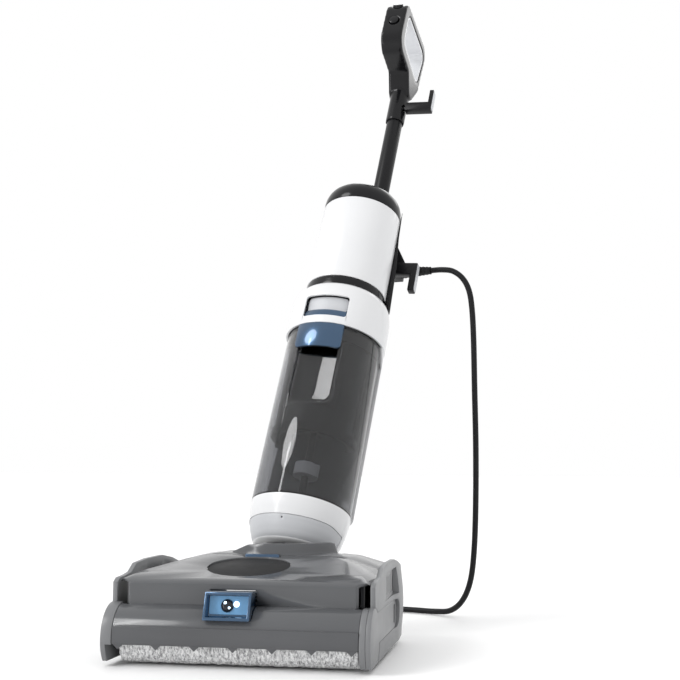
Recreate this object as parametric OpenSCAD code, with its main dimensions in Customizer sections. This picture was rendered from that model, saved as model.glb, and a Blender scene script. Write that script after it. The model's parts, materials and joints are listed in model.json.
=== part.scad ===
// Corded upright wet and dry floor washer: a low head with a powered roller, a
// swivelling and reclining neck, a body with a dirty tank in front and a clean
// tank behind, and a loop handle on a tube.
// X is to the machine's right, Y is to its rear and Z is up. The origin is on
// the floor, under the middle of the head.

/* [Pose at rest] */
// How far the body leans back from upright, in degrees
lean = 23.5; // [20:0.5:26]
// How far the body is swivelled towards its right, in degrees
yaw = 16; // [10:0.5:20]
// How far the body is rolled about its own long axis, in degrees
roll = 8; // [0:0.5:10]

/* [Head] */
// Half the width of the head over its side panels
head_half = 142; // [140:0.5:145]
// Where the head's front lip is, behind the origin
head_front = -136; // [-138:0.5:-134]
// Where the head's rear edge is
head_rear = 120; // [118:0.5:123]
// Radius of the roller over its pile
roller_r = 27; // [25:0.5:27]
// Radius of the rear wheels
wheel_r = 24; // [22:0.5:25]

/* [Neck] */
// Distance of the recline hinge behind the origin
hinge_y = 102; // [101:0.5:103]
// Height of the recline hinge above the floor
hinge_z = 53; // [52:0.5:54]
// Radius of the recline hinge pin
pin_r = 6; // [5:0.5:7]

/* [Body] */
// Radius of the dirty tank
tank_r = 64; // [63:0.5:64]
// Radius of the collar over the tank
collar_r = 67.5; // [67:0.5:68]
// Radius of the motor housing
motor_r = 55; // [54.5:0.5:55.5]
// Distance from the hinge to the underside of the tank, along the body
tank_s = 108; // [107:0.5:109]
// Distance from the hinge to the underside of the collar
collar_s = 345; // [344:0.5:346]
// Distance from the hinge to the underside of the motor housing
motor_s = 425; // [424:0.5:426]
// Distance from the hinge to the underside of the motor cap
cap_s = 554; // [552:0.5:556]

/* [Tube and handle] */
// Radius of the tube
tube_r = 12; // [11:0.5:12.5]
// Distance of the tube behind the body's axis
tube_y = 55; // [54:0.5:56]
// Distance from the hinge to the bottom of the handle's sleeve
sleeve_s = 768; // [766:0.5:770]
// Width of the handle's grip
grip_w = 33; // [30:0.5:34]

/* [Cord] */
// Diameter of the mains cord
cord_d = 8; // [7.5:0.1:8]

/* [Hidden] */
$fn = 96;

white = [0.93, 0.94, 0.95];
smoke = [0.28, 0.29, 0.31, 0.75];
black = [0.06, 0.06, 0.07];
grey = [0.45, 0.46, 0.48];
blue = [0.18, 0.34, 0.55];
steel = [0.72, 0.73, 0.75];

gap = 0.4;
run = 0.05;
wall = 2.5;
big = 400;

// ---------- frames ----------

// Swivel frame: the origin is the hinge, +X is the hinge's axis and +Z is up
module in_neck() {
    translate([0, hinge_y, hinge_z]) rotate([0, 0, -yaw]) children();
}

// Recline frame: +Z is along the body
module in_recline() {
    in_neck() rotate([-lean, 0, 0]) children();
}

// Body frame: +X is the body's own right and +Y is its rear
module in_body() {
    in_recline() rotate([0, 0, roll]) children();
}

// ---------- small helpers ----------

module along_x(x0, x1, r) {
    translate([x0, 0, 0]) rotate([0, 90, 0]) cylinder(r = r, h = x1 - x0);
}

module ring(r_out, r_in, h) {
    difference() {
        cylinder(r = r_out, h = h);
        translate([0, 0, -1]) cylinder(r = r_in, h = h + 2);
    }
}

// A box from one corner to the other
module span(a, b) {
    translate(a) cube(b - a);
}

// Extrudes a (y, z) outline along X, from x0 to x1
module slab_x(x0, x1) {
    translate([x0, 0, 0]) rotate([90, 0, 90]) linear_extrude(x1 - x0) children();
}

// Extrudes an (x, z) outline along Y, from y0 to y1
module slab_y(y0, y1) {
    translate([0, y1, 0]) rotate([90, 0, 0]) linear_extrude(y1 - y0) children();
}

// A rectangle with round corners, made of exact arcs
module soft_rect(x0, y0, x1, y1, r) {
    translate([x0 + r, y0]) square([x1 - x0 - 2 * r, y1 - y0]);
    translate([x0, y0 + r]) square([x1 - x0, y1 - y0 - 2 * r]);
    for (x = [x0 + r, x1 - r], y = [y0 + r, y1 - r]) translate([x, y]) circle(r = r);
}

// ---------- head ----------

roller_y = -103;
roller_z = roller_r;
roller_x0 = -126;
roller_x1 = 129;
core_r = 20;
cover_split = 26;
rim_x = 130;
lobe_r = 34.5;
shell_x = 136.6;
chassis_x = 126;
chassis_z0 = 8;
chassis_z1 = 22;
axle_y = 88;
axle_r = 4;
castor_r = 9;
castor_y = -52;
castor_x = 103;
swell_r = 227;
mouth_x = 60;

// The part of the covers that is concentric with the roller
module over_roller(r) {
    intersection() {
        translate([roller_y, roller_z + 1.5]) circle(r = r);
        translate([-big, 23]) square([big + roller_y + 4, big]);
    }
}

// The outline of the head's covers in side view, from the lip to the rear edge
module cover_outline() {
    over_roller(lobe_r);
    polygon([
        [-107, 23], [-107, 84.5], [-104, 87], [-60, 93.5], [-20, 100], [22, 105.5], [70, 108],
        [108, 102], [head_rear, 84], [head_rear, 22]
    ]);
}

module cover_hollow() {
    intersection() {
        translate([roller_y, roller_z + 1.5]) circle(r = 31.5);
        translate([-big, 20]) square([big + roller_y + 4, big]);
    }
    polygon([
        [-104, 20], [-104, 82.5], [-103, 84], [-60, 90.5], [-20, 97], [22, 102.5], [70, 105],
        [106.5, 99.2], [head_rear - 3, 82.5], [head_rear - 3, 20]
    ]);
}

// The outline of the covers seen from the front: they fall away towards the sides
module cover_crown(drop) {
    polygon([
        [-shell_x - 1, 0], [-shell_x - 1, 84 - drop], [-124, 93 - drop], [-92, 102.5 - drop],
        [-50, 109 - drop], [50, 109 - drop], [92, 102.5 - drop], [124, 93 - drop],
        [shell_x + 1, 84 - drop], [shell_x + 1, 0]
    ]);
}

module cover_skin(x) {
    difference() {
        intersection() {
            slab_x(-x, x) cover_outline();
            slab_y(-big, big) cover_crown(0);
        }
        intersection() {
            slab_x(-x - 1, x + 1) cover_hollow();
            slab_y(-big, big) translate([0, -1]) scale(1.02) cover_crown(3);
        }
        // chamfered front corners of the hood
        for (side = [-1, 1]) {
            linear_extrude(big) polygon([
                [side * 119, -110], [side * 137.6, -92], [side * 150, -92], [side * 150, -110]
            ]);
        }
    }
}

// The space that the body's foot swings in, open to the rear
module well(front_r, side_r) {
    translate([0, hinge_y, chassis_z1]) {
        cylinder(r = front_r, h = big);
        intersection() {
            cylinder(r = side_r, h = big);
            span([-big, -24, 0], [big, big, big]);
        }
        span([-side_r, 0, 0], [side_r, big, big]);
    }
}

module chassis() {
    color(black) difference() {
        union() {
            span([-chassis_x, -70, chassis_z0], [chassis_x, 117, chassis_z1]);
            translate([0, hinge_y, chassis_z0]) cylinder(r = 26, h = chassis_z1 - chassis_z0);
            // posts that the covers screw to
            for (x = [-112, 112], y = [-40, 50]) {
                translate([x, y, chassis_z1 - 1]) cylinder(r = 5, h = 62);
            }
            // skids under the side panels
            for (x = [-139, chassis_x - 1]) span([x, -62, 2.5], [x + 14, 54, 4.8]);
            for (x = [-127, chassis_x - 1]) span([x, -62, 2.5], [x + 2, 54, chassis_z0 + 1]);
            // sole that the head skims the floor on
            linear_extrude(chassis_z0 + 1) soft_rect(-25, -12, 25, 12, 5);
        }
        translate([0, hinge_y, 0]) cylinder(r = 12, h = big);
        translate([0, hinge_y, 0]) cylinder(r = 18, h = chassis_z0 + 3);
        // wheel arches
        for (x = [-1, 1]) {
            span([min(x * 90, x * 140), axle_y - wheel_r - 4, 0],
                [max(x * 90, x * 140), axle_y + wheel_r + 40, 60]);
            span([min(x * 96, x * 110), castor_y - 12, 0],
                [max(x * 96, x * 110), castor_y + 12, chassis_z1 + 1]);
        }
        span([-mouth_x, -71, chassis_z0 - 1], [mouth_x, -30, chassis_z1 + 1]);
        translate([0, -40, 34]) rotate([-90, 0, 0]) cylinder(r = 15 + gap, h = 62);
        // recesses of the cover screws
        for (x = [-112, 112], y = [-40, 50]) {
            translate([x, y, 0]) cylinder(r = 3.6, h = chassis_z0 + 4);
        }
        for (x = [-1, 1]) {
            translate([0, axle_y, wheel_r]) along_x(x < 0 ? -91 : 70, x < 0 ? -70 : 91, axle_r);
        }
    }
}

dish_at = [-10, -33];
dish_r = 46;
window_x0 = -33;
window_x1 = 17;
window_z0 = 50.5;
window_z1 = 78.5;
latch_x0 = -27;
latch_x1 = 13;
latch_y0 = 14.4;

module front_cover() {
    color(smoke) difference() {
        intersection() {
            cover_skin(shell_x);
            span([-big, -big, 0], [big, cover_split - gap, big]);
        }
        span([window_x0 - gap, -big, window_z0 - gap], [window_x1 + gap, -90, window_z1 + gap]);
        translate([dish_at.x, dish_at.y, 70]) cylinder(r = dish_r + gap, h = 60);
        span([latch_x0 - gap, latch_y0 - gap, 80], [latch_x1 + gap, 24, 130]);
        // seat of the bumper
        span([-big, -big, 0], [big, head_front + 1, 42 + gap]);
        // the rims at the roller's ends take the cover's place there
        for (side = [-1, 1]) {
            span([min(side * rim_x, side * big), -big, 0], [max(side * rim_x, side * big), -100, 64.2]);
        }
    }
}

// Dark strip along the lip, with teeth between shallow scallops
module front_bumper() {
    color([0.25, 0.26, 0.28]) {
        span([gap - rim_x, head_front - 1.5, 24], [rim_x - gap, head_front + 0.8, 42]);
        slab_y(head_front - 1, head_front + 0.6)
            for (i = [-3:3]) polygon([[i * 41 - 6, 24.1], [i * 41, 18.5], [i * 41 + 6, 24.1]]);
    }
}

module rear_cover() {
    color(smoke) difference() {
        union() {
            intersection() {
                cover_skin(shell_x);
                span([-big, cover_split, 0], [big, big, big]);
            }
            // raised shroud in front of the body's foot
            difference() {
                intersection() {
                    translate([0, hinge_y, 98]) cylinder(r1 = 77.4, r2 = 70, h = 22);
                    slab_y(-big, 84) polygon([
                        [-62, 90], [-50, 108], [-30, 116.5], [-8, 118.5], [62, 118.5],
                        [76, 114], [84, 106], [88, 90]
                    ]);
                }
                slab_x(-big, big) cover_hollow();
            }
        }
        well(62, 77);
        // wheel arches at the rear
        span([-shell_x - 1, head_rear - 40, 0], [-96, big, 34]);
        span([96, head_rear - 40, 0], [shell_x + 1, big, 34]);
    }
}

module light_window() {
    color(blue) difference() {
        slab_x(window_x0, window_x1) polygon([
            [-104.5, window_z1], [-127, window_z1], [-138, window_z0], [-104.5, window_z0]
        ]);
        // pocket behind the window's frame
        slab_x(window_x0 + 3, window_x1 - 3) polygon([
            [-119, window_z1 - 3], [-135, window_z1 - 3], [-145, window_z0 + 3],
            [-124, window_z0 + 3]
        ]);
        slab_x(-big, big) translate([roller_y, roller_z + 1.5]) circle(r = 31.5);
    }
}

// Round dark dish in the hood, over the roller's motor
module latch_bezel() {
    color(black) intersection() {
        translate([dish_at.x, dish_at.y, 70]) cylinder(r = dish_r, h = 50);
        difference() {
            slab_x(-big, big) translate([0, -1.6]) cover_outline();
            slab_x(-big, big) translate([0, -4.5]) cover_hollow();
        }
    }
}

module cover_latch() {
    color(blue) span([latch_x0, latch_y0, 96], [latch_x1, 23.6, 107.5]);
}

module side_outline() {
    intersection() {
        translate([roller_y, roller_z + 1.5]) circle(r = lobe_r + 0.5);
        translate([-big, 5]) square(2 * big);
    }
    polygon([
        [-103, 5], [-103, 63], [-103, 84], [-96, 88], [-78, 89], [-60, 91], [-44, 99.5],
        [-6, 102], [50, 102], [86, 97], [112, 91], [head_rear + 2, 78], [head_rear + 5, 54],
        [head_rear + 4, 20], [head_rear - 2, 7], [96, 5]
    ]);
}

// The roller cap seen from the side: a round lobe over the roller's end and an
// arm along the panel, which the hand pulls
module cap_outline(more) {
    intersection() {
        translate([roller_y, roller_z + 1.5]) circle(r = lobe_r + more);
        translate([-big, 5]) square(2 * big);
    }
    soft_rect(-100, 24 - more, 70 + more, 56 + more, 12);
}

module side_panel() {
    difference() {
        union() {
            slab_x(shell_x + gap, head_half) side_outline();
            // swelling over the rear wheel
            intersection() {
                translate([head_half + 4.5 - swell_r, axle_y, 48]) sphere(r = swell_r);
                slab_x(head_half - 1, big) side_outline();
            }
        }
        // scoop of the vent, deepest at its rear
        translate([0, 0, 62]) linear_extrude(30) polygon([
            [head_half + 0.01, -34], [big, -34], [big, 70], [head_half - 3.6, 70]
        ]);
        slab_x(100, big) soft_rect(54, 65, 68, 89, 3);
        for (i = [0:3]) slab_x(100, big) soft_rect(-8 + 13 * i, 67, -4 + 13 * i, 87, 1.9);
    }
}

module side_panel_right() {
    color(grey) difference() {
        side_panel();
        slab_x(100, big) cap_outline(gap);
    }
}

module side_panel_left() {
    color(grey) mirror([1, 0, 0]) {
        side_panel();
        // rim at the roller's driven end
        slab_x(rim_x + gap, shell_x + 1) difference() {
            over_roller(lobe_r + 0.5);
            translate([roller_y, roller_z + 1.5]) circle(r = 31.5);
        }
    }
}

module rear_wheel() {
    translate([0, axle_y, wheel_r]) rotate([0, 90, 0]) difference() {
        rotate_extrude() polygon([
            [axle_r + run, 0], [wheel_r - 2, 0], [wheel_r, 2], [wheel_r, 16],
            [wheel_r - 2, 18], [axle_r + run, 18]
        ]);
        // lightening pockets
        for (a = [0:60:300]) rotate([0, 0, a]) translate([13, 0, 12]) cylinder(r = 4, h = 10);
    }
}

module rear_wheel_right() {
    color(black) translate([102, 0, 0]) rear_wheel();
}

module rear_wheel_left() {
    color(black) translate([-102, 0, 0]) mirror([1, 0, 0]) rear_wheel();
}

module wheel_axles() {
    color(steel) for (x = [-1, 1]) {
        translate([x < 0 ? -136 : 76, axle_y, wheel_r]) along_x(0, 60, axle_r);
    }
}

module castor(x) {
    translate([x, castor_y, castor_r]) {
        along_x(-5, 5, castor_r);
        along_x(-7, 7, 2.5 - run);
    }
}

module castor_right() {
    color(black) castor(castor_x);
}

module castor_left() {
    color(black) castor(-castor_x);
}

module at_roller() {
    translate([0, roller_y, roller_z]) children();
}

module roller_core() {
    color(grey) at_roller() {
        difference() {
            along_x(roller_x0, roller_x1, core_r);
            along_x(roller_x1 - 20, roller_x1 + 1, 8 + run);
            along_x(roller_x0 - 1, roller_x0 + 16, 9.6);
        }
        // driven pulley on the roller's left end
        along_x(-130, roller_x0 + 1, 9);
    }
}

module roller_pile() {
    color("gainsboro") at_roller() difference() {
        along_x(roller_x0 + 1, roller_x1 - 1, roller_r);
        along_x(roller_x0 - 1, roller_x1 + 1, core_r + 0.02);
    }
}

module roller_cap() {
    color(grey) difference() {
        union() {
            slab_x(rim_x + gap, shell_x) intersection() {
                translate([roller_y, roller_z + 1.5]) circle(r = lobe_r + 0.5);
                translate([-big, 5]) square([2 * big, 57.5]);
            }
            slab_x(shell_x - 1, head_half - 3) intersection() {
                translate([roller_y, roller_z + 1.5]) circle(r = lobe_r - 1.5);
                translate([-big, 5]) square(2 * big);
            }
            slab_x(head_half - 3.4, head_half - 0.3) cap_outline(0);
            at_roller() along_x(roller_x1 - 18, rim_x + 1, 8);
        }
        // finger recess at the arm's rear end
        slab_x(head_half - 1.9, big) soft_rect(44, 29, 62, 51, 8);
    }
}

module scraper_comb() {
    color(black) difference() {
        span([-chassis_x, -82, 47], [chassis_x, -72, 60]);
        at_roller() along_x(-big, big, roller_r + 1);
        for (i = [-30:30]) span([i * 4 - 1, -83, 46], [i * 4 + 1, -78, 54]);
    }
}

module squeegee() {
    color([0.15, 0.15, 0.17]) slab_x(-chassis_x, chassis_x)
        polygon([[-74.5, 1], [-72, 1], [-70.4, 22], [-74.5, 22]]);
}

module spray_bar() {
    color(grey) {
        translate([0, -88, 68]) along_x(-110, 110, 4);
        for (i = [-4:4]) translate([i * 24, -88, 60]) cylinder(r = 1.6, h = 5);
    }
}

module roller_motor() {
    color(steel) translate([0, -20, 52]) {
        along_x(-104, -62, 22);
        along_x(-129.5, -103, 3);
    }
}

module motor_pulley() {
    color(grey) translate([0, -20, 52]) difference() {
        along_x(-130, -126.4, 9);
        along_x(-140, -120, 3.05);
    }
}

// A flat belt round the two pulleys, a little proud of both
module drive_belt() {
    belt_r = 9.4;
    turn = atan2(52 - roller_z, -20 - roller_y);
    color([0.1, 0.1, 0.1]) at_roller() translate([-129.9, 0, 0]) rotate([turn, 0, 0])
        rotate([90, 0, 90]) linear_extrude(3.4) difference() {
            belt_side(belt_r + 1.8);
            belt_side(belt_r);
        }
}

module belt_side(r) {
    reach = sqrt(pow(52 - roller_z, 2) + pow(-20 - roller_y, 2));
    circle(r = r);
    translate([reach, 0]) circle(r = r);
    translate([0, -r]) square([reach, 2 * r]);
}

module suction_mouth() {
    color(grey) difference() {
        union() {
            span([-mouth_x + 1, -70, 9], [mouth_x - 1, -31, 46]);
            translate([0, -32, 34]) rotate([-90, 0, 0]) cylinder(r = 15, h = 50);
        }
        span([-mouth_x + 4, -75, 12], [mouth_x - 4, -34, 43]);
        translate([0, -40, 34]) rotate([-90, 0, 0]) cylinder(r = 12.5, h = 70);
    }
}

module head_screws() {
    color(steel) for (x = [-112, 112], y = [-40, 50]) {
        difference() {
            translate([x, y, chassis_z0 + 1]) cylinder(r = 3.3, h = 2.6);
            translate([x, y, chassis_z0]) cylinder(r = 1.6, h = 2.2, $fn = 6);
        }
    }
}

// ---------- neck ----------

turret_z0 = chassis_z1 + gap - hinge_z;
turret_z1 = turret_z0 + 8;
ear_r = 15;
ear_x0 = 23;
ear_x1 = 33;

module swivel_turret() {
    color(black) in_neck() difference() {
        union() {
            translate([0, 0, turret_z0]) cylinder(r = 36, h = turret_z1 - turret_z0);
            translate([0, 0, chassis_z0 + 1 - hinge_z])
                cylinder(r = 12 - run, h = turret_z0 - chassis_z0 + hinge_z);
            // flange that keeps the spigot in the chassis
            translate([0, 0, chassis_z0 - 1.5 - hinge_z]) cylinder(r = 17, h = 3);
            for (x = [-ear_x1, ear_x0]) {
                along_x(x, x + ear_x1 - ear_x0, ear_r);
                span([x, -ear_r, turret_z1 - 1], [x + ear_x1 - ear_x0, ear_r, 0]);
            }
        }
        along_x(-big / 2, big / 2, pin_r);
    }
}

module hinge_pin() {
    color(steel) in_neck() along_x(-ear_x1 - 2, ear_x1 + 2, pin_r);
}

// ---------- cord ----------

coil_at = [-92, 300];
coil_mean_r = 50;
coil_wide = 5;
coil_layers = 4;

// The route of the cord from its gland down to the floor and along it to the coil
cord_route = [
    [0, 0, 0], [16, -5, 0], [32, -9, -3], [46, -12, -14], [55, -14, -32], [59, -15, -58],
    [61, -16, -100], [62, -16, -170], [63, -13, -250], [62, -8, -330], [59, -1, -392],
    [53, 9, -434], [41, 23, -462], [23, 39, -478], [-1, 55, -481.8], [-33, 69, -482.1],
    [-69, 78, -482.1], [-107, 79, -482.1], [-143, 73, -482.1], [-177, 63, -482.1],
    [-209, 53, -482.1], [-249.6, 42.2, -482.1]
];

// The route of the cord's last stretch, from the coil's top to the plug
tail_route = [
    [-59, 234, 28], [-44, 235.5, 26.5], [-30, 240, 22.5], [-18.5, 249, 18], [-11, 261, 14.5],
    [-10, 274.5, 13]
];

// Point on the smooth curve through a route's points i and i + 1, at t from 0 to 1
function route_point(route, i, t) =
    let (
        n = len(route),
        a = route[max(i - 1, 0)],
        b = route[i],
        c = route[min(i + 1, n - 1)],
        d = route[min(i + 2, n - 1)]
    )
    0.5 * (2 * b + (c - a) * t + (2 * a - 5 * b + 4 * c - d) * t * t
        + (3 * b - a - 3 * c + d) * t * t * t);

// Where a point of the recline frame is in the machine's own frame
function at_recline(p) =
    let (
        back = p.y * cos(lean) + p.z * sin(lean),
        up = p.z * cos(lean) - p.y * sin(lean)
    )
    [p.x * cos(yaw) + back * sin(yaw), hinge_y - p.x * sin(yaw) + back * cos(yaw), hinge_z + up];

gland_x0 = 44;
gland_x1 = 88;
gland_y = 70;
gland_s = 503;
cord_exit = at_recline([gland_x1, gland_y, gland_s]);
route_steps = 3;

function unit(v) = v / norm(v);

// Corners of one ring of the cord's tube
function cord_ring(at, ahead, sides) =
    let (
        side = unit(cross(ahead, abs(ahead.z) > 0.9 ? [0, 1, 0] : [0, 0, 1])),
        top = cross(side, ahead)
    )
    [for (k = [0:sides - 1]) at + cord_d / 2 * (cos(k * 360 / sides) * side
        + sin(k * 360 / sides) * top)];

// A tube along a route; its first ring faces the start direction
module cord_tube(route, start) {
    sides = 8;
    last = len(route) - 1;
    middles = [
        for (i = [0:last - 1], k = [0:route_steps - 1]) route_point(route, i, k / route_steps),
        route[last]
    ];
    n = len(middles);
    aheads = [for (i = [0:n - 1]) unit(middles[min(i + 1, n - 1)] - middles[max(i - 1, 0)])];
    rings = [for (i = [0:n - 1]) each cord_ring(middles[i], i == 0 ? start : aheads[i], sides)];
    skin = [
        for (i = [0:n - 2], k = [0:sides - 1])
            let (a = i * sides, b = a + sides, m = (k + 1) % sides)
            [a + k, a + m, b + m, b + k]
    ];
    polyhedron(
        rings,
        [[for (k = [0:sides - 1]) sides - 1 - k], each skin,
            [for (k = [0:sides - 1]) (n - 1) * sides + k]]
    );
}

module cord_run() {
    color(black) {
        translate(cord_exit) cord_tube(cord_route, [cos(yaw), -sin(yaw), 0]);
        cord_tube(tail_route, [1, 0, 0]);
    }
}

coil_z = 0.9;
coil_r0 = coil_mean_r - coil_wide * cord_d / 2;
coil_r1 = coil_mean_r + coil_wide * cord_d / 2;
coil_top = coil_z + coil_layers * cord_d;

module at_coil() {
    translate([coil_at.x, coil_at.y, 0]) children();
}

module cord_coil() {
    color(black) at_coil() rotate_extrude()
        translate([coil_r0, coil_z]) square([coil_r1 - coil_r0, coil_top - coil_z]);
}

module cord_tie() {
    band = 0.8;
    color(grey) at_coil() rotate([0, 0, 200]) difference() {
        span([coil_r0 - 0.8 - band, -6, 0], [coil_r1 + 0.1 + band, 6, coil_top + 0.1 + band]);
        span([coil_r0 - 0.8, -7, coil_z - 0.1], [coil_r1 + 0.1, 7, coil_top + 0.1]);
    }
}

// The plug lies beside the coil, with its pins away from the head
module plug() {
    color(black) translate([-10, 275, 13]) rotate([-90, 0, 0]) {
        cylinder(r1 = 5, r2 = 8, h = 22);
        translate([-12, -13, 22]) cube([24, 26, 24]);
        for (x = [-7.1, 5.6]) translate([x, -3, 45]) cube([1.5, 6.3, 17]);
        translate([0, -8, 45]) cylinder(r = 2.4, h = 19);
    }
}

// ---------- body: lower end ----------

cap_s0 = 52.8;
skirt_s = 82;

module foot_outline(more) {
    polygon([
        [0, cap_s0 - more], [45 + more, cap_s0 - more], [50 + more, 55 - more],
        [54 + more, 61], [58 + more, 71], [61 + more, 83], [63 + more, 95],
        [tank_r + more, tank_s - gap], [0, tank_s - gap]
    ]);
}

module skirt_region(more) {
    slab_y(-big, 2 + more) soft_rect(-66, 20, 66, skirt_s + more, 17);
}

module foot_hollow() {
    rotate_extrude() polygon([
        [0, 56], [46, 56], [54.5, 72], [59, 90], [60.5, tank_s - 3], [60.5, tank_s], [0, tank_s]
    ]);
}

module bottom_cap() {
    color(white) in_body() difference() {
        rotate_extrude() foot_outline(0);
        foot_hollow();
        difference() {
            skirt_region(gap);
            cylinder(r = 50, h = big);
            span([-big, -big, 0], [big, big, 56.5]);
        }
    }
}

module skirt_panel() {
    color([0.8, 0.81, 0.83]) in_body() difference() {
        intersection() {
            rotate_extrude() foot_outline(-0.6);
            skirt_region(0);
        }
        foot_hollow();
        cylinder(r = 50.4, h = big);
        span([-big, -big, 0], [big, big, 57]);
        translate([0, -40, 78]) rotate([90, 0, 0]) cylinder(r = 1.2, h = 40);
    }
}

module knuckle() {
    color(black) in_recline() difference() {
        union() {
            along_x(-ear_x0 + gap, ear_x0 - gap, 14);
            span([-20, -13, 6], [20, 13, 50]);
            translate([0, 0, 49.4]) cylinder(r = 38, h = 3);
        }
        along_x(-big / 2, big / 2, pin_r + run);
        translate([0, 0, 20]) cylinder(r = 7, h = 60);
    }
}

module water_pump() {
    color(grey) in_body() span([-20, 14, 62], [20, 38, 92]);
    color(grey) in_body() translate([0, 26, 91]) cylinder(r = 4, h = 12);
}

module steam_boiler() {
    color(steel) in_body() {
        translate([0, -16, 82]) along_x(-34, 34, 17);
        translate([24, -16, 98]) cylinder(r = 3, h = 7);
    }
}

// ---------- body: rear shell and collar ----------

tank_back = 20;
tank_cut = 22;
tank_top = collar_s - gap;
shell_r = 66.8;
bay_x = 38.6;
bay_y = 36.4;
bay_s0 = 129;
bay_s1 = 347;

module rear_shell() {
    color(white) in_body() difference() {
        intersection() {
            translate([0, 0, tank_s]) cylinder(r = shell_r, h = tank_top - tank_s);
            union() {
                span([-big, tank_back + gap, 0], [big, big, big]);
                // cheeks over the tank's cut corner
                slab_x(-big / 2, big / 2) polygon([
                    [tank_back - tank_cut + 0.6, tank_top], [tank_back + 1, tank_top],
                    [tank_back + 1, tank_top - tank_cut - 0.4]
                ]);
            }
        }
        span([2 - tank_r, -big, 0], [tank_r - 2, tank_back + gap, big]);
        intersection() {
            translate([0, 0, tank_s + 3]) cylinder(r = shell_r - 3, h = tank_top - tank_s - 6);
            span([-big, tank_back + 3.4, 0], [big, bay_y - wall, big]);
        }
        span([-bay_x, bay_y, bay_s0], [bay_x, big, bay_s1]);
    }
}

// A quarter turn of the collar's shoulder, from its side to its top
function shoulder(r, s, rise, inset) =
    [for (a = [0:15:90]) [r - inset * (1 - cos(a)), s + rise * sin(a)]];

collar_top = 411;
window_s0 = 356;
window_s1 = 387;

module collar() {
    color(white) in_body() difference() {
        rotate_extrude() polygon(concat(
            [[collar_r - 3, collar_s], [collar_r, collar_s]],
            shoulder(collar_r, 378, collar_top - 378, 11.5),
            [[50, collar_top], [50, collar_top - 3], [53, collar_top - 3]],
            [for (a = [75:-15:0]) [collar_r - 3 - 11.5 * (1 - cos(a)), 376 + 30 * sin(a)]]
        ));
        slab_y(-big, -30) soft_rect(-30, window_s0, 30, window_s1, 4);
    }
}

module release_button() {
    color(blue) in_body() difference() {
        intersection() {
            union() {
                translate([0, 0, window_s0]) cylinder(r = 60, h = 40);
                translate([0, 0, window_s0]) cylinder(r1 = 66, r2 = 63.5, h = 10);
            }
            slab_y(-big, -30)
                soft_rect(-29.4, window_s0 + 0.6, 29.4, window_s1 - 0.6, 3.5);
        }
        cylinder(r = 56.5, h = big);
    }
}

module black_ring() {
    color(black) in_body() difference() {
        translate([0, 0, collar_top + gap])
            cylinder(r1 = 55.2, r2 = motor_r - 0.5, h = motor_s - collar_top - 2 * gap);
        cylinder(r = 50, h = motor_s + 1);
    }
}

module motor_housing() {
    color(white) in_body() translate([0, 0, motor_s])
        ring(motor_r, motor_r - wall, cap_s - motor_s - gap);
}

cap_r = motor_r - 0.3;
cap_top = cap_s + 31;
boss_r = 17;
boss_top = cap_top + 20;

module motor_cap() {
    color(black) in_body() difference() {
        rotate_extrude() polygon(concat(
            [[0, cap_s], [cap_r, cap_s]],
            [for (a = [0:15:90]) [cap_r - 17 * (1 - cos(a)), cap_s + 7 + 24 * sin(a)]],
            [[0, cap_top]]
        ));
        translate([0, 0, cap_s - 1]) cylinder(r = cap_r - 6, h = 22);
        translate([0, tube_y, 0]) cylinder(r = boss_r + gap, h = big * 2);
        translate([0, -8, cap_top - 3]) cylinder(r = 24, h = 10);
    }
}

module display() {
    color([0.05, 0.08, 0.12]) in_body() translate([0, -8, cap_top - 2.8])
        cylinder(r = 23.7, h = 2.6);
}

spine_s0 = collar_top + 1;

module spine() {
    color(black) in_body() difference() {
        union() {
            intersection() {
                rotate_extrude() polygon([
                    [0, spine_s0], [64, spine_s0], [62, 480], [57.5, 530], [56, cap_s + 18],
                    [0, cap_s + 18]
                ]);
                span([-big, 14, 0], [big, big, big * 2]);
            }
            translate([0, tube_y, spine_s0]) cylinder(r = boss_r, h = boss_top - spine_s0);
        }
        cylinder(r = motor_r + gap, h = cap_s);
        difference() {
            translate([0, 0, cap_s - 1]) cylinder(r = motor_r + gap, h = big);
            translate([0, tube_y, 0]) cylinder(r = boss_r, h = big * 2);
        }
        translate([0, tube_y, cap_s]) cylinder(r = tube_r + run, h = big);
        // seat of the lower hook
        span([41 - gap, 34, 458], [big, 90, 534]);
    }
    // outlet that the cord's gland sits in
    color(black) in_recline() difference() {
        span([-8, gland_y - 11, gland_s - 10], [gland_x0 - run, gland_y + 9, gland_s + 10]);
        cylinder(r = motor_r + gap, h = big * 2);
    }
}

module suction_motor() {
    color(steel) in_body() {
        translate([0, 0, 436]) cylinder(r = 40, h = 78);
        translate([0, 0, 513]) cylinder(r = 4, h = 34);
    }
}

module impeller() {
    color(grey) in_body() difference() {
        union() {
            translate([0, 0, 520]) cylinder(r = 42, h = 3);
            translate([0, 0, 521]) cylinder(r = 9, h = 19);
            for (a = [0:45:315]) rotate([0, 0, a]) translate([8, -1, 522]) cube([32, 2, 14]);
        }
        cylinder(r = 4 + run, h = big * 2);
    }
}

// ---------- tube, handle and hooks ----------

sleeve_r = 14.5;
sleeve_top = 828;

module tube() {
    color(black) in_body() translate([0, tube_y, cap_s + gap])
        ring(tube_r, tube_r - 1.5, sleeve_top - 10 - cap_s);
}

// Circles that the loop is stretched round: [y, s, radius]
loop_front_low = [-11, 874, 26];
loop_front_high = [-16, 917, 20];
loop_rear_high = [74, 926, 19];
loop_rear_low = [60, 874, 28];

// The hand's opening: thicker walls in front and below than above and behind
hand_circles = [[-4, 880, 13], [-6, 912, 12], [70, 916, 13], [63, 877, 14]];

// Room behind each button for its 1.5 mm of travel
press = 2;

module loop_outline() {
    hull() for (c = [loop_front_low, loop_front_high, loop_rear_high, loop_rear_low])
        translate([c[0], c[1]]) circle(r = c[2], $fn = 48);
}

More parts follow.
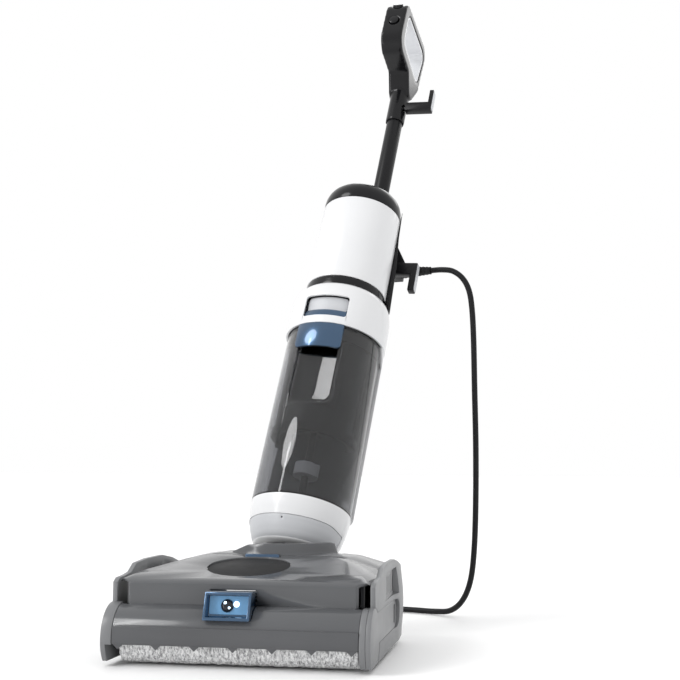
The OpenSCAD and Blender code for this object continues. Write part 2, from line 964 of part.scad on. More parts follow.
module loop_opening(shrink) {
    hull() for (c = hand_circles) translate([c[0], c[1]]) circle(r = c[2] - shrink, $fn = 48);
}

module handle_shell() {
    color(black) in_body() difference() {
        union() {
            slab_x(-grip_w / 2, grip_w / 2) difference() {
                union() {
                    loop_outline();
                    hull() {
                        translate([tube_y, 832]) circle(r = 14.5, $fn = 48);
                        translate([34, 862]) circle(r = 16, $fn = 48);
                        translate([68, 864]) circle(r = 20, $fn = 48);
                    }
                }
                loop_opening(0);
            }
            translate([0, tube_y, sleeve_s]) cylinder(r = sleeve_r, h = sleeve_top - sleeve_s);
        }
        translate([0, tube_y, sleeve_s - 1])
            cylinder(r = tube_r + run, h = sleeve_top - sleeve_s - 8);
        at_power() translate([0, 0, 14 - press]) cylinder(r = 8 + gap, h = 30);
        at_mode() translate([0, 0, 1 - press]) cylinder(r = 7 + gap, h = 30);
        // bore of the upper hook's pivot
        translate([0, tube_y - 6, 793]) rotate([0, 90, 0]) cylinder(r = 3 + run, h = 40);
    }
}

module handle_lining() {
    color([0.82, 0.83, 0.84]) in_body() slab_x(-grip_w / 2 + 1, grip_w / 2 - 1) difference() {
        loop_opening(0.02);
        loop_opening(2.5);
    }
}

// The power button is on the loop's top front corner, facing forwards and up
module at_power() {
    translate([0, loop_front_high[0], loop_front_high[1]]) rotate([50, 0, 0]) children();
}

module at_mode() {
    translate([0, -28, 896]) rotate([90, 0, 0]) children();
}

module power_button() {
    color(grey) in_body() at_power() translate([0, 0, 14]) cylinder(r = 8, h = 8);
}

module mode_button() {
    color(grey) in_body() at_mode() translate([0, 0, 1]) cylinder(r = 7, h = 9);
}

hook_y0 = 38;
hook_y1 = 50;

module lower_hook() {
    color(black) in_body() {
        span([41, hook_y0, 486], [74, hook_y1, 504]);
        span([73, hook_y0, 459], [82, hook_y1, 504]);
        slab_y(hook_y0 + 2, hook_y1 - 2) polygon([[41, 503], [64, 503], [48, 531], [41, 531]]);
    }
}

module upper_hook() {
    color(black) in_body() {
        span([sleeve_r + 1.5, hook_y0 + 5, 786], [52, hook_y1 + 5, 800]);
        span([51, hook_y0 + 5, 786], [57, hook_y1 + 5, 823]);
        translate([0, tube_y - 6, 793]) along_x(tube_r + 1, sleeve_r + 2, 3);
    }
}

module cord_gland() {
    color(black) in_recline() translate([0, gland_y, gland_s]) {
        rotate([0, 90, 0]) translate([0, 0, gland_x0])
            cylinder(r1 = 9, r2 = 5.5, h = gland_x1 - gland_x0);
    }
}

// ---------- dirty tank ----------

// Side view of the tank: its top rear corner is cut off
module tank_side(inset) {
    back = tank_back - inset;
    top = tank_top - inset;
    cut = tank_cut - 0.6 * inset;
    polygon([
        [-big, tank_s + inset], [back, tank_s + inset], [back, top - cut], [back - cut, top],
        [-big, top]
    ]);
}

recess_x = 30;
recess_s0 = 232;
recess_s1 = 325;
recess_y = -49;
grip_s0 = 310;

module tank_shell() {
    color(smoke) in_body() {
        difference() {
            intersection() {
                cylinder(r = tank_r, h = tank_top);
                slab_x(-big / 2, big / 2) tank_side(0);
            }
            intersection() {
                cylinder(r = tank_r - wall, h = big);
                slab_x(-big / 2, big / 2) union() {
                    tank_side(wall);
                    translate([-big, tank_top - 25]) square([big + 10, 60]);
                }
            }
            slab_y(-big, recess_y - 1) soft_rect(-recess_x, recess_s0, recess_x, recess_s1, 14);
        }
        difference() {
            intersection() {
                cylinder(r = tank_r, h = tank_top);
                slab_y(-big, recess_y) soft_rect(-recess_x, recess_s0, recess_x, recess_s1, 14);
            }
            slab_y(-big, recess_y - wall) soft_rect(-recess_x + wall, recess_s0 + wall,
                recess_x - wall, recess_s1 - wall, 12);
        }
    }
}

module tank_grip() {
    color(blue) in_body() intersection() {
        translate([0, 0, grip_s0]) ring(tank_r + 3.6, tank_r + 0.2, tank_top - grip_s0 - 0.4);
        slab_y(-big, 0) soft_rect(-33, grip_s0, 30, tank_top + 6, 6);
    }
}

module tank_lid() {
    color(black) in_body() difference() {
        intersection() {
            translate([0, 0, recess_s1 + gap]) cylinder(r = tank_r - wall - gap, h = 18);
            span([-big, -big, 0], [big, 9, big]);
        }
        translate([0, -14, recess_s1 - 1]) cylinder(r = 30, h = 12);
    }
}

filter_y = -10.5;
filter_r = 50;
filter_s0 = 204;
filter_back = 13;
stem_r = 5;

// The separator and filter unit that hangs from the lid, with its flange and vanes
module filter_basket() {
    color(black) in_body() difference() {
        intersection() {
            union() {
                translate([0, filter_y, filter_s0]) cylinder(r = filter_r, h = recess_s1 - filter_s0);
                translate([0, -6, filter_s0 - 10]) cylinder(r = 54, h = 11);
            }
            union() {
                span([-big, recess_y + wall + gap, 0], [big, filter_back, big]);
                span([-big, -big, 0], [big, filter_back, recess_s0 - wall - gap]);
            }
        }
        translate([0, filter_y, filter_s0 - 12]) cylinder(r = filter_r - 6, h = 26);
        // outlets at the back
        for (x = [-24, 0, 24]) span([x - 5, 2, 240], [x + 5, 40, 320]);
    }
    color(black) in_body() translate([0, filter_y, tank_s + wall + gap])
        cylinder(r = stem_r, h = filter_s0 + 15 - tank_s - wall);
}

module float() {
    color("ghostwhite") in_body() translate([0, filter_y, 150]) ring(16, stem_r + 6 * run, 16);
}

// ---------- clean tank ----------

module clean_tank() {
    x = 38;
    y0 = 37;
    y1 = 88;
    s0 = 130;
    s1 = 340;
    color([0.75, 0.8, 0.85, 0.7]) in_body() {
        difference() {
            translate([0, 0, s0]) linear_extrude(s1 - s0) soft_rect(-x, y0, x, y1, 20);
            translate([0, 0, s0 + wall]) linear_extrude(s1 - s0 - 2 * wall)
                soft_rect(-x + wall, y0 + wall, x - wall, y1 - wall, 18);
        }
        translate([0, 64, s1 - 1]) cylinder(r = 13, h = 5);
    }
}

chassis();
front_cover();
front_bumper();
rear_cover();
light_window();
cover_latch();
latch_bezel();
side_panel_left();
side_panel_right();
rear_wheel_left();
rear_wheel_right();
wheel_axles();
castor_left();
castor_right();
roller_core();
roller_pile();
roller_cap();
scraper_comb();
squeegee();
spray_bar();
roller_motor();
motor_pulley();
drive_belt();
suction_mouth();
head_screws();
swivel_turret();
hinge_pin();
cord_run();
cord_coil();
cord_tie();
plug();
knuckle();
bottom_cap();
skirt_panel();
rear_shell();
collar();
release_button();
black_ring();
motor_housing();
motor_cap();
display();
spine();
suction_motor();
impeller();
water_pump();
steam_boiler();
tube();
handle_shell();
handle_lining();
power_button();
mode_button();
lower_hook();
upper_hook();
cord_gland();
tank_shell();
tank_grip();
tank_lid();
filter_basket();
float();
clean_tank();
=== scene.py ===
"""Looks of the corded floor washer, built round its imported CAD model.

Metres, +Z up, +X to the machine's right.
"""

import json
import math
import random

import bmesh
import bpy
from mathutils import Matrix, Vector, noise


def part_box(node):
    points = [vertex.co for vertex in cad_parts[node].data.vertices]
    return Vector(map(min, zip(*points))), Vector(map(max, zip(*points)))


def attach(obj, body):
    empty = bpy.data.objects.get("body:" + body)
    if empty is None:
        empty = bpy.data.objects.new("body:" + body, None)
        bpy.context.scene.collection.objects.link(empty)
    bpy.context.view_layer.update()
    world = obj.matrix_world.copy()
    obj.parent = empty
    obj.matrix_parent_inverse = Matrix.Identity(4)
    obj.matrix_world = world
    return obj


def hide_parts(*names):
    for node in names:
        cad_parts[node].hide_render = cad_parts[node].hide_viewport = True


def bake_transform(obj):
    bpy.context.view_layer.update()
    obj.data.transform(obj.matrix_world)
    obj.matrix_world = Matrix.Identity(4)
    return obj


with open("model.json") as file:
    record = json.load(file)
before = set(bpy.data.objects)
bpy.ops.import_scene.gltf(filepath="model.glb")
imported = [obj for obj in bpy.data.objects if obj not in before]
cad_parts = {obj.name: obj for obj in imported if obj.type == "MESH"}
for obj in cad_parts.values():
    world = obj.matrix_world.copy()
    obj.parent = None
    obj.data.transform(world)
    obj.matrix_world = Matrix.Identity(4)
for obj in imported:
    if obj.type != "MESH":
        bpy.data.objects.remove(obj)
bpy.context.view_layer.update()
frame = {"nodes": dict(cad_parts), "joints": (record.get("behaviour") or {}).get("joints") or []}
NODES = frame["nodes"]
JOINTS = {joint["name"]: joint for joint in frame["joints"]}
MM = 0.001

# ---------- frames ----------

HINGE = Vector(JOINTS["recline"]["pos_m"])
RECLINE_AXIS = -Vector(JOINTS["recline"]["axis"]).normalized()
BODY_UP = Vector(JOINTS["impeller_spin"]["axis"]).normalized()
BODY_RIGHT = Vector(JOINTS["upper_hook_turn"]["axis"]).normalized()


def frame_of(right, up):
    """Matrix of a frame at the hinge, for points in millimetres."""
    right = (right - up * right.dot(up)).normalized()
    back = up.cross(right)
    turn = Matrix((right, back, up)).transposed().to_4x4()
    return Matrix.Translation(HINGE) @ turn @ Matrix.Scale(MM, 4)


BODY = frame_of(BODY_RIGHT, BODY_UP)
RECLINE = frame_of(RECLINE_AXIS, BODY_UP)
HEAD = Matrix.Scale(MM, 4)

# ---------- camera ----------

CAMERA_AT = (0.3221, -1.3502, 0.2069)
CAMERA_AZIMUTH, CAMERA_UP, CAMERA_ROLL = 9.94, 6.08, 0.33
FOCAL_LENGTH = 63.55

camera = bpy.data.objects.new("camera", bpy.data.cameras.new("camera"))
bpy.context.scene.collection.objects.link(camera)
camera.data.lens = FOCAL_LENGTH
camera.data.sensor_width = 36
camera.matrix_world = (
    Matrix.Translation(CAMERA_AT)
    @ Matrix.Rotation(math.radians(CAMERA_AZIMUTH), 4, "Z")
    @ Matrix.Rotation(math.radians(90 + CAMERA_UP), 4, "X")
    @ Matrix.Rotation(math.radians(CAMERA_ROLL), 4, "Z")
)
bpy.context.scene.camera = camera

# ---------- small helpers ----------


def new_mesh(name, points, faces, matrix=HEAD, smooth=True):
    mesh = bpy.data.meshes.new(name)
    mesh.from_pydata([matrix @ Vector(p) for p in points], [], faces)
    mesh.validate()
    if smooth:
        mesh.polygons.foreach_set("use_smooth", [True] * len(mesh.polygons))
    piece = bpy.data.objects.new(name, mesh)
    bpy.context.scene.collection.objects.link(piece)
    fix_normals(piece)
    return piece


def fix_normals(piece):
    work = bmesh.new()
    work.from_mesh(piece.data)
    bmesh.ops.recalc_face_normals(work, faces=work.faces)
    work.to_mesh(piece.data)
    work.free()


def grid_faces(rows, columns, wrap_rows=False, wrap_columns=False):
    """Quads over a grid of points stored row by row."""
    faces = []
    for i in range(rows if wrap_rows else rows - 1):
        for j in range(columns if wrap_columns else columns - 1):
            a, b = i * columns + j, i * columns + (j + 1) % columns
            c, d = (i + 1) % rows * columns + (j + 1) % columns, (i + 1) % rows * columns + j
            faces.append((a, b, c, d))
    return faces


def apply_modifiers(piece):
    bpy.context.view_layer.update()
    graph = bpy.context.evaluated_depsgraph_get()
    mesh = bpy.data.meshes.new_from_object(piece.evaluated_get(graph))
    piece.modifiers.clear()
    piece.data = mesh
    return piece


def bevel(piece, width, segments=2, angle=35):
    """Small round edges, for highlights."""
    weld = piece.modifiers.new("weld", "WELD")
    weld.merge_threshold = 1e-5
    edge = piece.modifiers.new("bevel", "BEVEL")
    edge.width = width * MM
    edge.segments = segments
    edge.limit_method = "ANGLE"
    edge.angle_limit = math.radians(angle)
    edge.harden_normals = False
    edge.use_clamp_overlap = True
    return piece


def smooth_by_angle(piece, angle=35):
    piece.data.polygons.foreach_set("use_smooth", [True] * len(piece.data.polygons))
    piece.data.set_sharp_from_angle(angle=math.radians(angle))


def dress(piece, material):
    piece.data.materials.clear()
    piece.data.materials.append(material)
    return piece


# ---------- materials ----------


class Nodes:
    """A material's node tree, with short calls for what is used most."""

    def __init__(self, name):
        self.material = bpy.data.materials.new(name)
        self.material.use_nodes = True
        self.tree = self.material.node_tree
        self.shader = self.tree.nodes["Principled BSDF"]
        self.place = self.add("ShaderNodeTexCoord").outputs["Object"]

    def add(self, kind, **values):
        node = self.tree.nodes.new(kind)
        for key, value in values.items():
            setattr(node, key, value)
        return node

    def link(self, start, end):
        self.tree.links.new(start, end)

    def set(self, **values):
        for key, value in values.items():
            self.shader.inputs[key.replace("_", " ")].default_value = value

    def noise(self, scale, detail=3.0, roughness=0.5, source=None):
        node = self.add("ShaderNodeTexNoise")
        node.inputs["Scale"].default_value = scale
        node.inputs["Detail"].default_value = detail
        node.inputs["Roughness"].default_value = roughness
        self.link(source or self.place, node.inputs["Vector"])
        return node.outputs["Fac"]

    def ramp(self, source, stops):
        node = self.add("ShaderNodeValToRGB")
        ramp = node.color_ramp
        while len(ramp.elements) < len(stops):
            ramp.elements.new(0.5)
        for element, (where, colour) in zip(ramp.elements, stops):
            element.position = where
            element.color = (*colour, 1) if len(colour) == 3 else colour
        self.link(source, node.inputs["Fac"])
        return node.outputs["Color"]

    def span(self, source, low, high):
        """Maps a 0 to 1 value to low to high."""
        node = self.add("ShaderNodeMapRange")
        node.inputs["To Min"].default_value = low
        node.inputs["To Max"].default_value = high
        self.link(source, node.inputs["Value"])
        return node.outputs["Result"]

    def bump(self, height, distance, strength=1.0):
        node = self.add("ShaderNodeBump")
        node.inputs["Distance"].default_value = distance * MM
        node.inputs["Strength"].default_value = strength
        self.link(height, node.inputs["Height"])
        self.link(node.outputs["Normal"], self.shader.inputs["Normal"])


def moulded(
    name, colour, roughness, grain=0.02, grain_scale=900, variation=0.04, coat=0.0, shine=0.5
):
    """Moulded plastic: a faint mottle in colour and gloss, and a fine grain."""
    make = Nodes(name)
    dark = [c * (1 - variation) for c in colour]
    light = [min(1, c * (1 + variation)) for c in colour]
    mottle = make.noise(14, 4)
    make.link(make.ramp(mottle, [(0.3, dark), (0.7, light)]), make.shader.inputs["Base Color"])
    make.link(
        make.span(make.noise(60, 5, 0.6), roughness * 0.85, roughness * 1.15),
        make.shader.inputs["Roughness"],
    )
    make.set(Coat_Weight=coat, Coat_Roughness=0.05, IOR=1.48, Specular_IOR_Level=shine)
    make.bump(make.noise(grain_scale, 2), grain)
    return make.material


def smoked(name, colour, through, roughness, mottle=0.06):
    """Tinted clear plastic: through is how much light passes."""
    make = Nodes(name)
    dark = [c * (1 - mottle) for c in colour]
    light = [min(1, c * (1 + mottle)) for c in colour]
    inputs = make.shader.inputs
    make.link(make.ramp(make.noise(9, 3), [(0.3, dark), (0.7, light)]), inputs["Base Color"])
    make.link(make.span(make.noise(40, 3), roughness * 0.8, roughness * 1.2), inputs["Roughness"])
    make.set(Transmission_Weight=through, IOR=1.45, Specular_IOR_Level=0.4)
    make.set(Coat_Weight=0.1, Coat_Roughness=0.03)
    make.bump(make.noise(220, 2), 0.01)
    return make.material


def brushed(name, colour, roughness):
    make = Nodes(name)
    streaks = make.add("ShaderNodeMapping")
    streaks.inputs["Scale"].default_value = (1, 40, 40)
    make.link(make.place, streaks.inputs["Vector"])
    grain = make.noise(60, 4, 0.6, streaks.outputs["Vector"])
    make.link(
        make.ramp(grain, [(0.3, [c * 0.85 for c in colour]), (0.7, colour)]),
        make.shader.inputs["Base Color"],
    )
    make.link(make.span(grain, roughness * 0.7, roughness * 1.3), make.shader.inputs["Roughness"])
    make.set(Metallic=1.0)
    make.bump(grain, 0.02)
    return make.material


def blue_lacquer():
    """Metallic blue under a clear coat, with fine flakes."""
    make = Nodes("blue_lacquer")
    flakes = make.noise(2600, 1)
    make.link(
        make.ramp(flakes, [(0.35, (0.018, 0.055, 0.115)), (0.75, (0.036, 0.095, 0.180))]),
        make.shader.inputs["Base Color"],
    )
    make.link(make.span(make.noise(30, 3), 0.16, 0.24), make.shader.inputs["Roughness"])
    make.set(Metallic=0.75, Coat_Weight=1.0, Coat_Roughness=0.03)
    make.bump(flakes, 0.004)
    return make.material


def rubber(name, colour=(0.018, 0.018, 0.019)):
    return moulded(name, colour, 0.62, grain=0.05, grain_scale=500, variation=0.15, shine=0.2)


def pile_material():
    """White and grey microfibre."""
    make = Nodes("pile")
    comb = make.add("ShaderNodeMapping")
    comb.inputs["Rotation"].default_value = (0.5, 0.4, 0)
    comb.inputs["Scale"].default_value = (1.6, 1, 0.4)
    make.link(make.place, comb.inputs["Vector"])
    clumps = make.noise(260, 5, 0.7, comb.outputs["Vector"])
    fibres = make.noise(1100, 3, 0.6, comb.outputs["Vector"])
    both = make.add("ShaderNodeMath", operation="MULTIPLY_ADD")
    make.link(fibres, both.inputs[0])
    both.inputs[1].default_value = 0.55
    make.link(clumps, both.inputs[2])
    make.link(
        make.ramp(
            both.outputs["Value"],
            [(0.62, (0.16, 0.16, 0.165)), (0.74, (0.50, 0.50, 0.51)), (0.84, (0.84, 0.84, 0.84))],
        ),
        make.shader.inputs["Base Color"],
    )
    make.set(Roughness=0.9, Sheen_Weight=0.4, Sheen_Roughness=0.5)
    make.bump(fibres, 0.5, 0.6)
    return make.material


def glow(name, colour, strength):
    make = Nodes(name)
    make.link(
        make.ramp(make.noise(120, 2), [(0.3, [c * 0.8 for c in colour]), (0.7, colour)]),
        make.shader.inputs["Base Color"],
    )
    make.set(Emission_Color=(*colour, 1), Emission_Strength=strength, Roughness=0.15)
    return make.material


WHITE = moulded("white_gloss", (0.70, 0.705, 0.715), 0.24, grain=0.006, variation=0.012, coat=0.2)
PALE = moulded("pale_grey", (0.50, 0.51, 0.53), 0.38, variation=0.03)
GREY = moulded("mid_grey", (0.165, 0.168, 0.174), 0.36, variation=0.05)
BLACK_GLOSS = moulded(
    "black_gloss", (0.006, 0.006, 0.007), 0.16, grain=0.004, variation=0.1, shine=0.28
)
BLACK = moulded("black_satin", (0.008, 0.008, 0.009), 0.34, grain=0.03, variation=0.12, shine=0.22)
LINING = moulded("silver_lining", (0.66, 0.67, 0.69), 0.30, variation=0.03)
HOOD = smoked("smoked_shell", (0.105, 0.108, 0.114), 0.14, 0.16)
TANK = smoked("smoked_tank", (0.42, 0.425, 0.44), 1.0, 0.03)
CLEAR = smoked("clear_tank", (0.80, 0.84, 0.88), 0.85, 0.22, 0.02)
STEEL = brushed("steel", (0.62, 0.63, 0.65), 0.3)
BLUE = blue_lacquer()
RUBBER = rubber("rubber")
CORD = moulded("cord_sheath", (0.008, 0.008, 0.009), 0.42, grain=0.03, variation=0.1, shine=0.2)
PILE = pile_material()
SCREEN = moulded("screen", (0.008, 0.010, 0.016), 0.06, grain=0.002, coat=0.3, shine=0.3)
BAND = moulded("bumper", (0.075, 0.077, 0.082), 0.30, variation=0.08)
LED = glow("led", (0.62, 0.84, 1.0), 2.6)
GLASS = glow("window_glass", (0.12, 0.29, 0.50), 0.15)

MATERIAL_OF = {
    WHITE: "bottom_cap rear_shell collar motor_housing",
    PALE: "skirt_panel impeller float",
    GREY: "side_panel_left side_panel_right roller_core roller_cap spray_bar motor_pulley"
    " suction_mouth water_pump",
    BLACK_GLOSS: "black_ring motor_cap spine power_button mode_button",
    BLACK: "chassis castor_left castor_right scraper_comb swivel_turret knuckle plug tube"
    " upper_hook lower_hook tank_lid filter_basket handle_shell",
    HOOD: "front_cover rear_cover",
    TANK: "tank_shell",
    CLEAR: "clean_tank",
    STEEL: "wheel_axles roller_motor head_screws hinge_pin suction_motor steam_boiler",
    BLUE: "light_window cover_latch tank_grip release_button",
    RUBBER: "latch_bezel rear_wheel_left rear_wheel_right squeegee drive_belt cord_tie cord_gland",
    LINING: "handle_lining",
    PILE: "roller_pile",
    CORD: "cord_run cord_coil",
    SCREEN: "display",
    BAND: "front_bumper",
}
SOFT_EDGES = {
    1.6: "tank_shell",
    1.2: "front_cover rear_cover side_panel_left side_panel_right light_window cover_latch"
    " upper_hook lower_hook plug front_bumper",
    0.8: "collar black_ring motor_housing motor_cap bottom_cap skirt_panel rear_shell spine"
    " tank_grip release_button clean_tank knuckle swivel_turret cord_gland roller_cap",
    0.5: "chassis rear_wheel_left rear_wheel_right castor_left castor_right tube power_button"
    " mode_button filter_basket tank_lid latch_bezel display",
}

for material, names in MATERIAL_OF.items():
    for name in names.split():
        dress(NODES[name], material)
for width, names in SOFT_EDGES.items():
    for name in names.split():
        bevel(NODES[name], width)
for piece in NODES.values():
    smooth_by_angle(piece)

# ---------- rounded and soft pieces that stand for CAD nodes ----------

# The outer end of the cord's gland, in the recline frame
GLAND = Vector((88, 70, 503))


def rounded_copy(name, node, voxel, passes):
    """A copy of a CAD node with its edges melted, which stands for the node."""
    piece = bpy.data.objects.new(name, NODES[node].data.copy())
    bpy.context.scene.collection.objects.link(piece)
    remesh = piece.modifiers.new("remesh", "REMESH")
    remesh.mode = "VOXEL"
    remesh.voxel_size = voxel * MM
    relax = piece.modifiers.new("relax", "SMOOTH")
    relax.factor = 0.5
    relax.iterations = passes
    apply_modifiers(piece)
    piece.data.polygons.foreach_set("use_smooth", [True] * len(piece.data.polygons))
    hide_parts(node)
    return piece


def lathe(name, profile, matrix, sides=48):
    """A closed profile of (along, radius) turned round the x axis of the matrix."""
    points = [
        (along, radius * math.cos(math.tau * k / sides), radius * math.sin(math.tau * k / sides))
        for along, radius in profile
        for k in range(sides)
    ]
    return new_mesh(name, points, grid_faces(len(profile), sides, True, True), matrix)


def pile_cover():
    """The roller's nap: a closed sleeve whose outside is broken up into tufts."""
    low, high = (Vector(corner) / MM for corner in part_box("roller_pile"))
    middle, radius = (low + high) / 2, (high.z - low.z) / 2
    across, around = 180, 120
    scatter = random.Random(7)
    points = []
    for i in range(across + 1):
        x = low.x + (high.x - low.x) * i / across
        for k in range(around):
            turn = math.tau * k / around
            y, z = radius * math.cos(turn), radius * math.sin(turn)
            clump = noise.noise(Vector((x * 0.30 + z * 0.12, y * 0.30, z * 0.30)))
            depth = 1.5 - 1.6 * clump + scatter.uniform(0, 0.9)
            share = 1 - min(max(depth, 0), 3.4) / radius
            points.append((x, middle.y + y * share, middle.z + z * share))
    faces = grid_faces(across + 1, around, wrap_columns=True)
    faces.append(tuple(range(around)))
    faces.append(tuple(across * around + k for k in range(around)))
    piece = dress(new_mesh("nap", points, faces), PILE)
    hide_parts("roller_pile")
    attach(piece, "roller")


def cord_boot():
    """The gland, with the ribs of a moulded strain relief."""
    start, length, bore, wide, taper, ribs = 44, 44, 3.9, 9, 3.5, 8
    profile = [(start, bore)]
    for step in range(61):
        t = step / 60
        groove = 0.5 * (1 - math.cos(math.tau * ribs * t)) / 2
        profile.append((start + length * t, wide - taper * t - groove))
    profile.append((start + length, bore))
    piece = lathe("cord_boot", profile, RECLINE @ Matrix.Translation((0, GLAND.y, GLAND.z)))
    dress(piece, RUBBER)
    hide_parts("cord_gland")
    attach(piece, "main_body")


soft_handle = dress(rounded_copy("soft_handle", "handle_shell", 1.3, 26), BLACK_GLOSS)
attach(soft_handle, "main_body")
pile_cover()
cord_boot()

# ---------- small added details ----------


def sheet(name, place, half_wide, half_high, corner, thickness, matrix, material, body):
    """A thin plate with round corners; place(u, v) puts its millimetres where they belong."""
    columns, rows = 20, 16
    points = []
    for i in range(rows + 1):
        v = half_high * (2 * i / rows - 1)
        inside = max(abs(v) - (half_high - corner), 0) / corner
        wide = half_wide - corner * (1 - math.sqrt(max(1 - inside * inside, 0)))
        points += [place(wide * (2 * j / columns - 1), v) for j in range(columns + 1)]
    piece = new_mesh(name, points, grid_faces(rows + 1, columns + 1), matrix)
    solid = piece.modifiers.new("solid", "SOLIDIFY")
    solid.thickness = thickness * MM
    solid.offset = 0
    apply_modifiers(piece)
    smooth_by_angle(piece)
    dress(piece, material)
    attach(piece, body)
    return piece


def on_round(radius, middle):
    """Places a sheet on the body's round front, at a height along it."""
    return lambda u, v: (
        radius * math.sin(u / radius),
        -radius * math.cos(u / radius),
        middle + v,
    )


WINDOW_AT = Vector((-8, -121.9, 64.5))
WINDOW_UP = Vector((0, 5, 22)).normalized()
WINDOW_OUT = Vector((0, -22, 5)).normalized()


def on_window(out):
    return lambda u, v: WINDOW_AT + Vector((u, 0, 0)) + WINDOW_UP * v + WINDOW_OUT * out


def bead(name, u, v, size, base, material):
    """A low dome on the light window's plate."""
    points = [WINDOW_AT + Vector((u, 0, 0)) + WINDOW_UP * v + WINDOW_OUT * (base + size * 0.4)]
    for ring in (1, 2, 3):
        lift = base + size * 0.4 * math.cos(math.radians(30 * ring))
        for k in range(16):
            turn = math.tau * k / 16
            spread = size * math.sin(math.radians(30 * ring))
            points.append(
                WINDOW_AT
                + Vector((u + spread * math.cos(turn), 0, 0))
                + WINDOW_UP * (v + spread * math.sin(turn))
                + WINDOW_OUT * lift
            )
    faces = [(0, 1 + k, 1 + (k + 1) % 16) for k in range(16)]
    for ring in (0, 1):
        for k in range(16):
            a, b = 1 + ring * 16 + k, 1 + ring * 16 + (k + 1) % 16
            faces.append((a, b, b + 16, a + 16))
    faces.append(tuple(33 + k for k in range(16)))
    piece = dress(new_mesh(name, points, faces), material)
    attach(piece, "front_cover")


sheet("window_plate", on_window(0), 21, 9.4, 1.2, 0.8, HEAD, GLASS, "front_cover")
bead("lamp_rim", -2.0, -0.5, 7.0, 0.6, SCREEN)
# Each lamp: across and up from the window's middle, radius, height over the plate's middle
LAMPS = [(-3.6, 2.0, 1.9, 2.6), (0.4, -2.6, 1.6, 2.6), (7.8, 1.2, 3.2, 0.6)]
for number, (u, v, size, base) in enumerate(LAMPS):
    bead("lamp_%d" % number, u, v, size, base, LED)
RELEASE_R, RELEASE_UP = 60.5, 376.7
sheet(
    "release_face", on_round(RELEASE_R, RELEASE_UP), 28.4, 9.6, 3, 0.7, BODY, PALE,
    "release_button",
)  # fmt: skip
# Middles of the pale plates on the hooks' outer ends, in the body's frame; the plates are a painted
# reflection of the white surroundings on the glossy black hook ends
LOWER_HOOK_REFLECTION_AT = Vector((82.35, 44, 481.5))
UPPER_HOOK_REFLECTION_AT = Vector((57.35, 49, 804.5))
# Painted reflection: a pale plate on the lower hook's outer end
sheet(
    "lower_hook_painted_reflection", lambda u, v: LOWER_HOOK_REFLECTION_AT + Vector((0, u, v)), 5.2, 21, 2, 0.6, BODY, PALE,
    "main_body",
)  # fmt: skip
# Painted reflection: a pale plate on the upper hook's outer end
sheet(
    "upper_hook_painted_reflection", lambda u, v: UPPER_HOOK_REFLECTION_AT + Vector((0, u, v)), 5.2, 17, 2, 0.6, BODY, PALE,
    "upper_hook",
)  # fmt: skip

# ---------- cord ----------

CORD_D = 8
# The route from the gland down to the floor and along it to the coil, from the gland's end
ROUTE = [
    (0, 0, 0), (16, -5, 0), (32, -9, -3), (46, -12, -14), (55, -14, -32), (59, -15, -58),
    (61, -16, -100), (62, -16, -170), (63, -13, -250), (62, -8, -330), (59, -1, -392),
    (53, 9, -434), (41, 23, -462), (23, 39, -478), (-1, 55, -481.8), (-33, 69, -482.1),
    (-69, 78, -482.1), (-107, 79, -482.1), (-143, 73, -482.1), (-177, 63, -482.1),
    (-209, 53, -482.1), (-249.6, 42.2, -482.1),
]  # fmt: skip
# The last stretch, from the coil's top to the plug
TAIL = [
    (-76, 234, 28.9), (-59, 234, 28), (-44, 235.5, 26.5), (-30, 240, 22.5), (-18.5, 249, 18),
    (-11, 261, 14.5), (-10, 274.5, 13),
]  # fmt: skip
COIL_AT = Vector((-92, 300, 0))
COIL_MEAN_R, COIL_WIDE, COIL_LAYERS, COIL_Z = 50, 5, 4, 0.9
STEPS_PER_TURN = 40


def through(points, steps):
    """A smooth curve through the points."""
    points = [Vector(p) for p in points]
    made = []
    for i in range(len(points) - 1):
        a, b = points[max(i - 1, 0)], points[i]
        c, d = points[i + 1], points[min(i + 2, len(points) - 1)]
        for k in range(steps):
            t = k / steps
            made.append(
                0.5 * (2 * b + (c - a) * t + (2 * a - 5 * b + 4 * c - d) * t * t
                       + (3 * b - a - 3 * c + d) * t * t * t)
            )  # fmt: skip
    return made + [points[-1]]


def ease(t):
    t = min(max(t, 0), 1)
    return t * t * (3 - 2 * t)


def coil_points():
    """The turns of the coil: each layer goes in or out by one diameter a turn, then up a layer."""
    outer = COIL_MEAN_R + (COIL_WIDE - 1) / 2 * CORD_D
    turns = COIL_WIDE * COIL_LAYERS
    radii, heights = [], []
    for turn in range(turns + 1):
        layer, track = divmod(min(turn, turns - 1), COIL_WIDE)
        inwards = layer % 2 == 0
        radii.append(outer - CORD_D * (track if inwards else COIL_WIDE - 1 - track))
        heights.append(COIL_Z + CORD_D * (layer + 0.5))
    made = []
    for turn in range(turns):
        last = turn == turns - 1
        for k in range(STEPS_PER_TURN):
            t = k / STEPS_PER_TURN
            if last and t > 0.5:
                break
            share = ease(2 * t - 1)
            r = radii[turn] + (radii[turn + 1] - radii[turn]) * share
            z = heights[turn] + (heights[turn + 1] - heights[turn]) * share
            if turn == 0:
                r += (1 - ease(3 * t)) * CORD_D * 1.05
            angle = math.radians(90) + math.tau * t
            made.append(COIL_AT + Vector((r * math.cos(angle), r * math.sin(angle), z)))
    return made


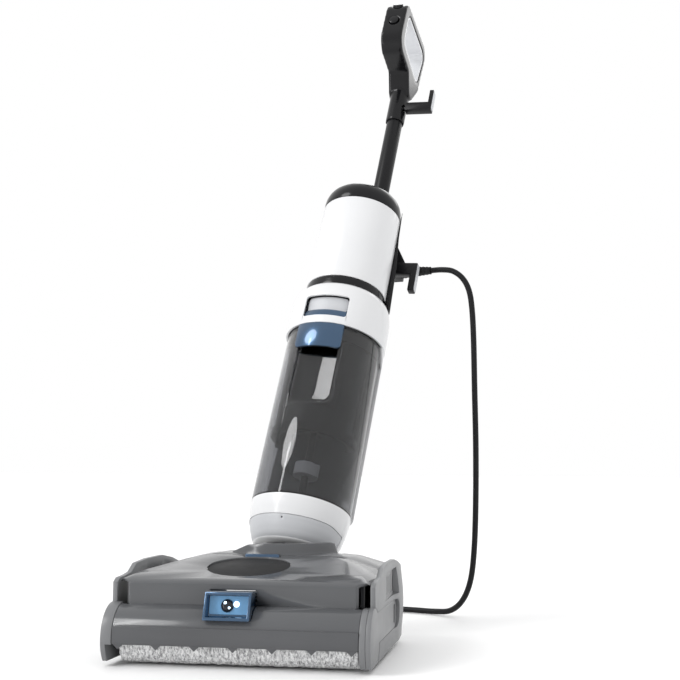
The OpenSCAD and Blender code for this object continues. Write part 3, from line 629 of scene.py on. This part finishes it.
def tube_mesh(name, line, radius, sides=14):
    """A tube along a line of points in metres, with flat ends."""
    line = [Vector(p) for p in line]
    ahead = (line[1] - line[0]).normalized()
    side = ahead.cross(Vector((0, 0, 1))).normalized()
    points = []
    for i, at in enumerate(line):
        ahead = (line[min(i + 1, len(line) - 1)] - line[max(i - 1, 0)]).normalized()
        side = (side - ahead * side.dot(ahead)).normalized()
        top = ahead.cross(side)
        for k in range(sides):
            turn = math.tau * k / sides
            points.append(at + radius * (math.cos(turn) * side + math.sin(turn) * top))
    faces = grid_faces(len(line), sides, wrap_columns=True)
    faces.append(tuple(range(sides)))
    faces.append(tuple((len(line) - 1) * sides + k for k in range(sides)))
    return new_mesh(name, points, faces, Matrix.Identity(4))


def cord_line():
    start = RECLINE @ GLAND
    run = [start + Vector(p) * MM for p in through(ROUTE, 6)]
    turns = coil_points()
    tail = through([turns[-1]] + TAIL, 6)
    return run[:-1] + [p * MM for p in turns[:-1] + tail]


line = cord_line()
mains_cord = dress(tube_mesh("mains_cord", line, CORD_D / 2 * MM), CORD)
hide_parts("cord_run", "cord_coil")
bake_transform(mains_cord)

# ---------- floor and lights ----------

FLOOR_HALF = 30


def make_floor():
    signs = [(-1, -1), (1, -1), (1, 1), (-1, 1)]
    corners = [(FLOOR_HALF * x, FLOOR_HALF * y, -0.0005) for x, y in signs]
    floor = new_mesh("floor", corners, [(0, 1, 2, 3)], Matrix.Identity(4))
    make = Nodes("floor")
    make.link(
        make.ramp(make.noise(1.2, 2), [(0.3, (0.925, 0.925, 0.925)), (0.7, (0.935, 0.935, 0.935))]),
        make.shader.inputs["Base Color"],
    )
    make.set(Roughness=0.6)
    dress(floor, make.material)


def area_light(name, at, towards, size, power, along=(0, 0, 1)):
    """A lamp that faces a point, with its long side along a direction."""
    lamp = bpy.data.lights.new(name, "AREA")
    lamp.shape = "RECTANGLE"
    lamp.size, lamp.size_y = size
    lamp.energy = power
    lamp_object = bpy.data.objects.new(name, lamp)
    bpy.context.scene.collection.objects.link(lamp_object)
    back = (Vector(at) - Vector(towards)).normalized()
    up = (Vector(along) - back * back.dot(Vector(along))).normalized()
    turn = Matrix((up.cross(back), up, back)).transposed().to_4x4()
    lamp_object.matrix_world = Matrix.Translation(at) @ turn


make_floor()
CENTRE = (0.1, 0.15, 0.45)
sun = bpy.data.lights.new("key", "SUN")
sun.energy = 0.9
sun.angle = math.radians(24)
sun_object = bpy.data.objects.new("key", sun)
bpy.context.scene.collection.objects.link(sun_object)
sun_object.rotation_mode = "QUATERNION"
sun_object.rotation_quaternion = Vector((0.62, 0.42, -0.66)).to_track_quat("-Z", "Y")
area_light("strip_left", (-1.35, -1.25, 0.62), CENTRE, (0.14, 2.6), 10, BODY_UP)
area_light("rim", (0.6, 2.4, 1.9), CENTRE, (2.0, 1.0), 8)

world = bpy.data.worlds.new("studio")
bpy.context.scene.world = world
world.use_nodes = True
world.node_tree.nodes["Background"].inputs["Color"].default_value = (1, 1, 1, 1)
world.node_tree.nodes["Background"].inputs["Strength"].default_value = 1.0
bpy.context.scene.view_settings.view_transform = "Standard"
